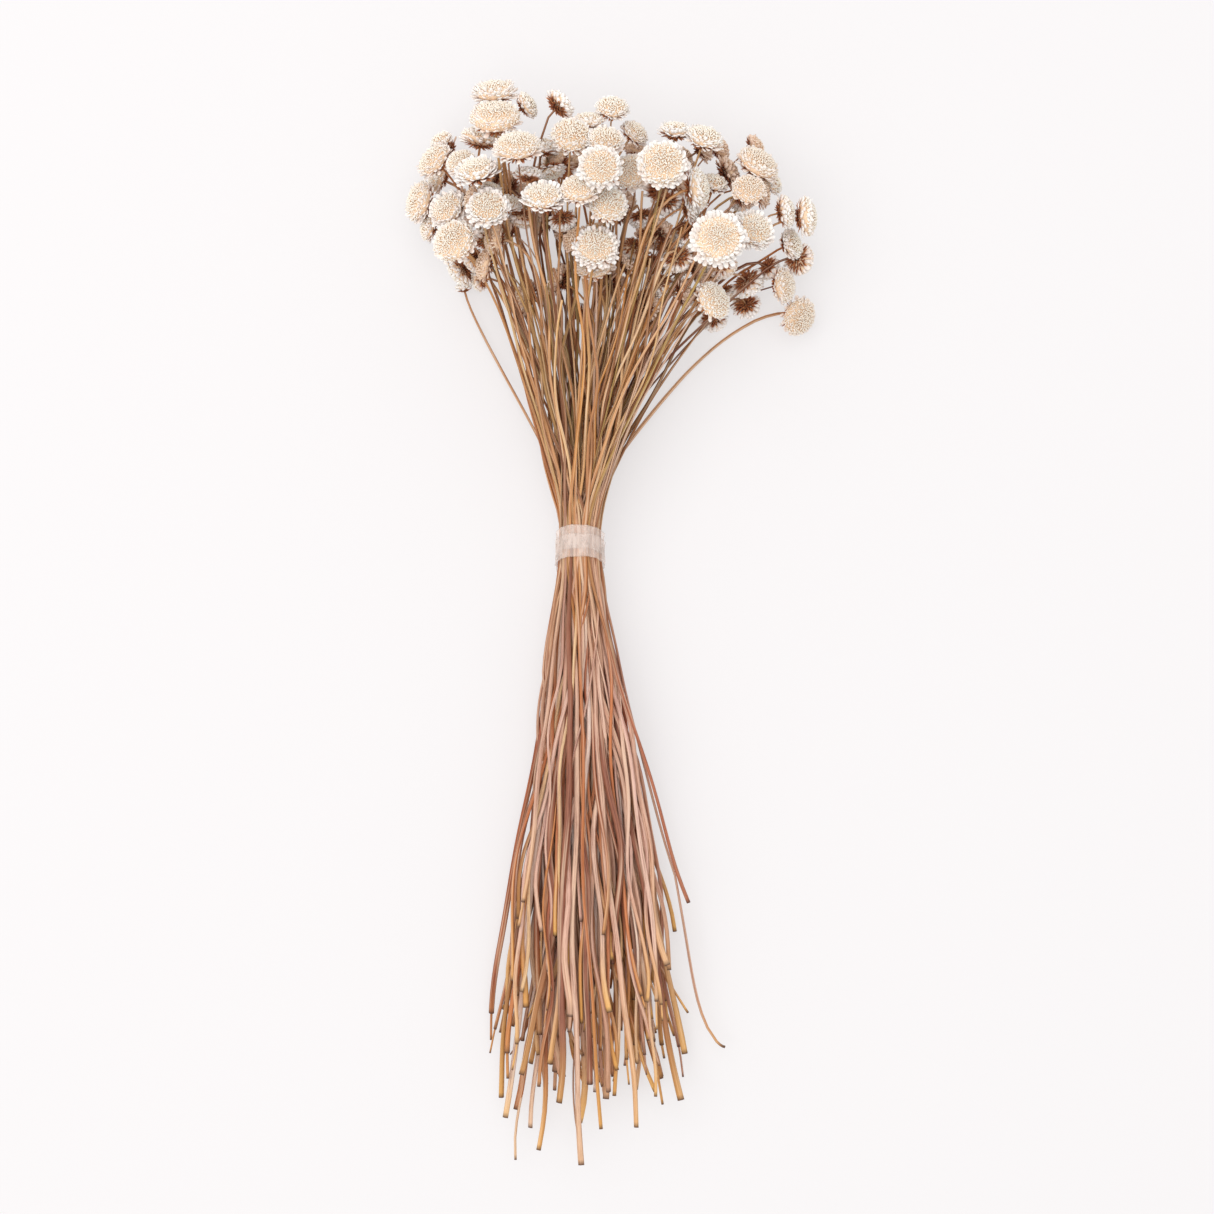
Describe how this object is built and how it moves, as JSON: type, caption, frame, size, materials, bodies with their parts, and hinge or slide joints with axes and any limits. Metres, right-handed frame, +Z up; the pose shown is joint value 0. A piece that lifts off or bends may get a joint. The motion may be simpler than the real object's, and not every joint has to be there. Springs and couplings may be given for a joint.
{
  "type": "bunch of dried glixia",
  "caption": "Bunch of dried glixia lying down: cream papery button flowers on long bare stems, fanned out above and below a waist of clear tape.",
  "frame": {"origin": "on the surface that the bunch lies on, under the middle of its bounding box", "axes": "+Y along the bunch towards the flowers, -Y towards the cut ends, +X to the right seen from above, +Z up"},
  "size_m": [0.1594, 0.419, 0.0728],
  "materials": {
    "flower_head": "dry and papery: a granular cream disc in a rim of white bracts, with brown bracts under it",
    "dried_stem": "dull straw with long ribs, golden above the tie and mauve tan below it",
    "clear_tape": "clear film gone slightly milky, wrinkled, glossy"
  },
  "bodies": {
    "root": {"head_01": "flower_head", "head_02": "flower_head", "head_03": "flower_head", "head_04": "flower_head", "head_05": "flower_head", "head_06": "flower_head", "head_07": "flower_head", "head_08": "flower_head", "head_09": "flower_head", "head_10": "flower_head", "head_11": "flower_head", "head_12": "flower_head", "head_13": "flower_head", "head_14": "flower_head", "head_15": "flower_head", "head_16": "flower_head", "head_17": "flower_head", "head_18": "flower_head", "head_19": "flower_head", "head_20": "flower_head", "head_21": "flower_head", "head_22": "flower_head", "head_23": "flower_head", "head_24": "flower_head", "head_25": "flower_head", "head_26": "flower_head", "head_27": "flower_head", "head_28": "flower_head", "head_29": "flower_head", "stem_01": "dried_stem", "stem_02": "dried_stem", "stem_03": "dried_stem", "stem_04": "dried_stem", "stem_05": "dried_stem", "stem_06": "dried_stem", "stem_07": "dried_stem", "stem_08": "dried_stem", "stem_09": "dried_stem", "stem_10": "dried_stem", "stem_11": "dried_stem", "stem_12": "dried_stem", "stem_13": "dried_stem", "stem_14": "dried_stem", "stem_15": "dried_stem", "stem_16": "dried_stem", "stem_17": "dried_stem", "stem_18": "dried_stem", "stem_19": "dried_stem", "stem_20": "dried_stem", "stem_21": "dried_stem", "stem_22": "dried_stem", "stem_23": "dried_stem", "stem_24": "dried_stem", "stem_25": "dried_stem", "stem_26": "dried_stem", "stem_27": "dried_stem", "stem_28": "dried_stem", "stem_29": "dried_stem", "tie_tape": "clear_tape"}
  },
  "joints": []
}
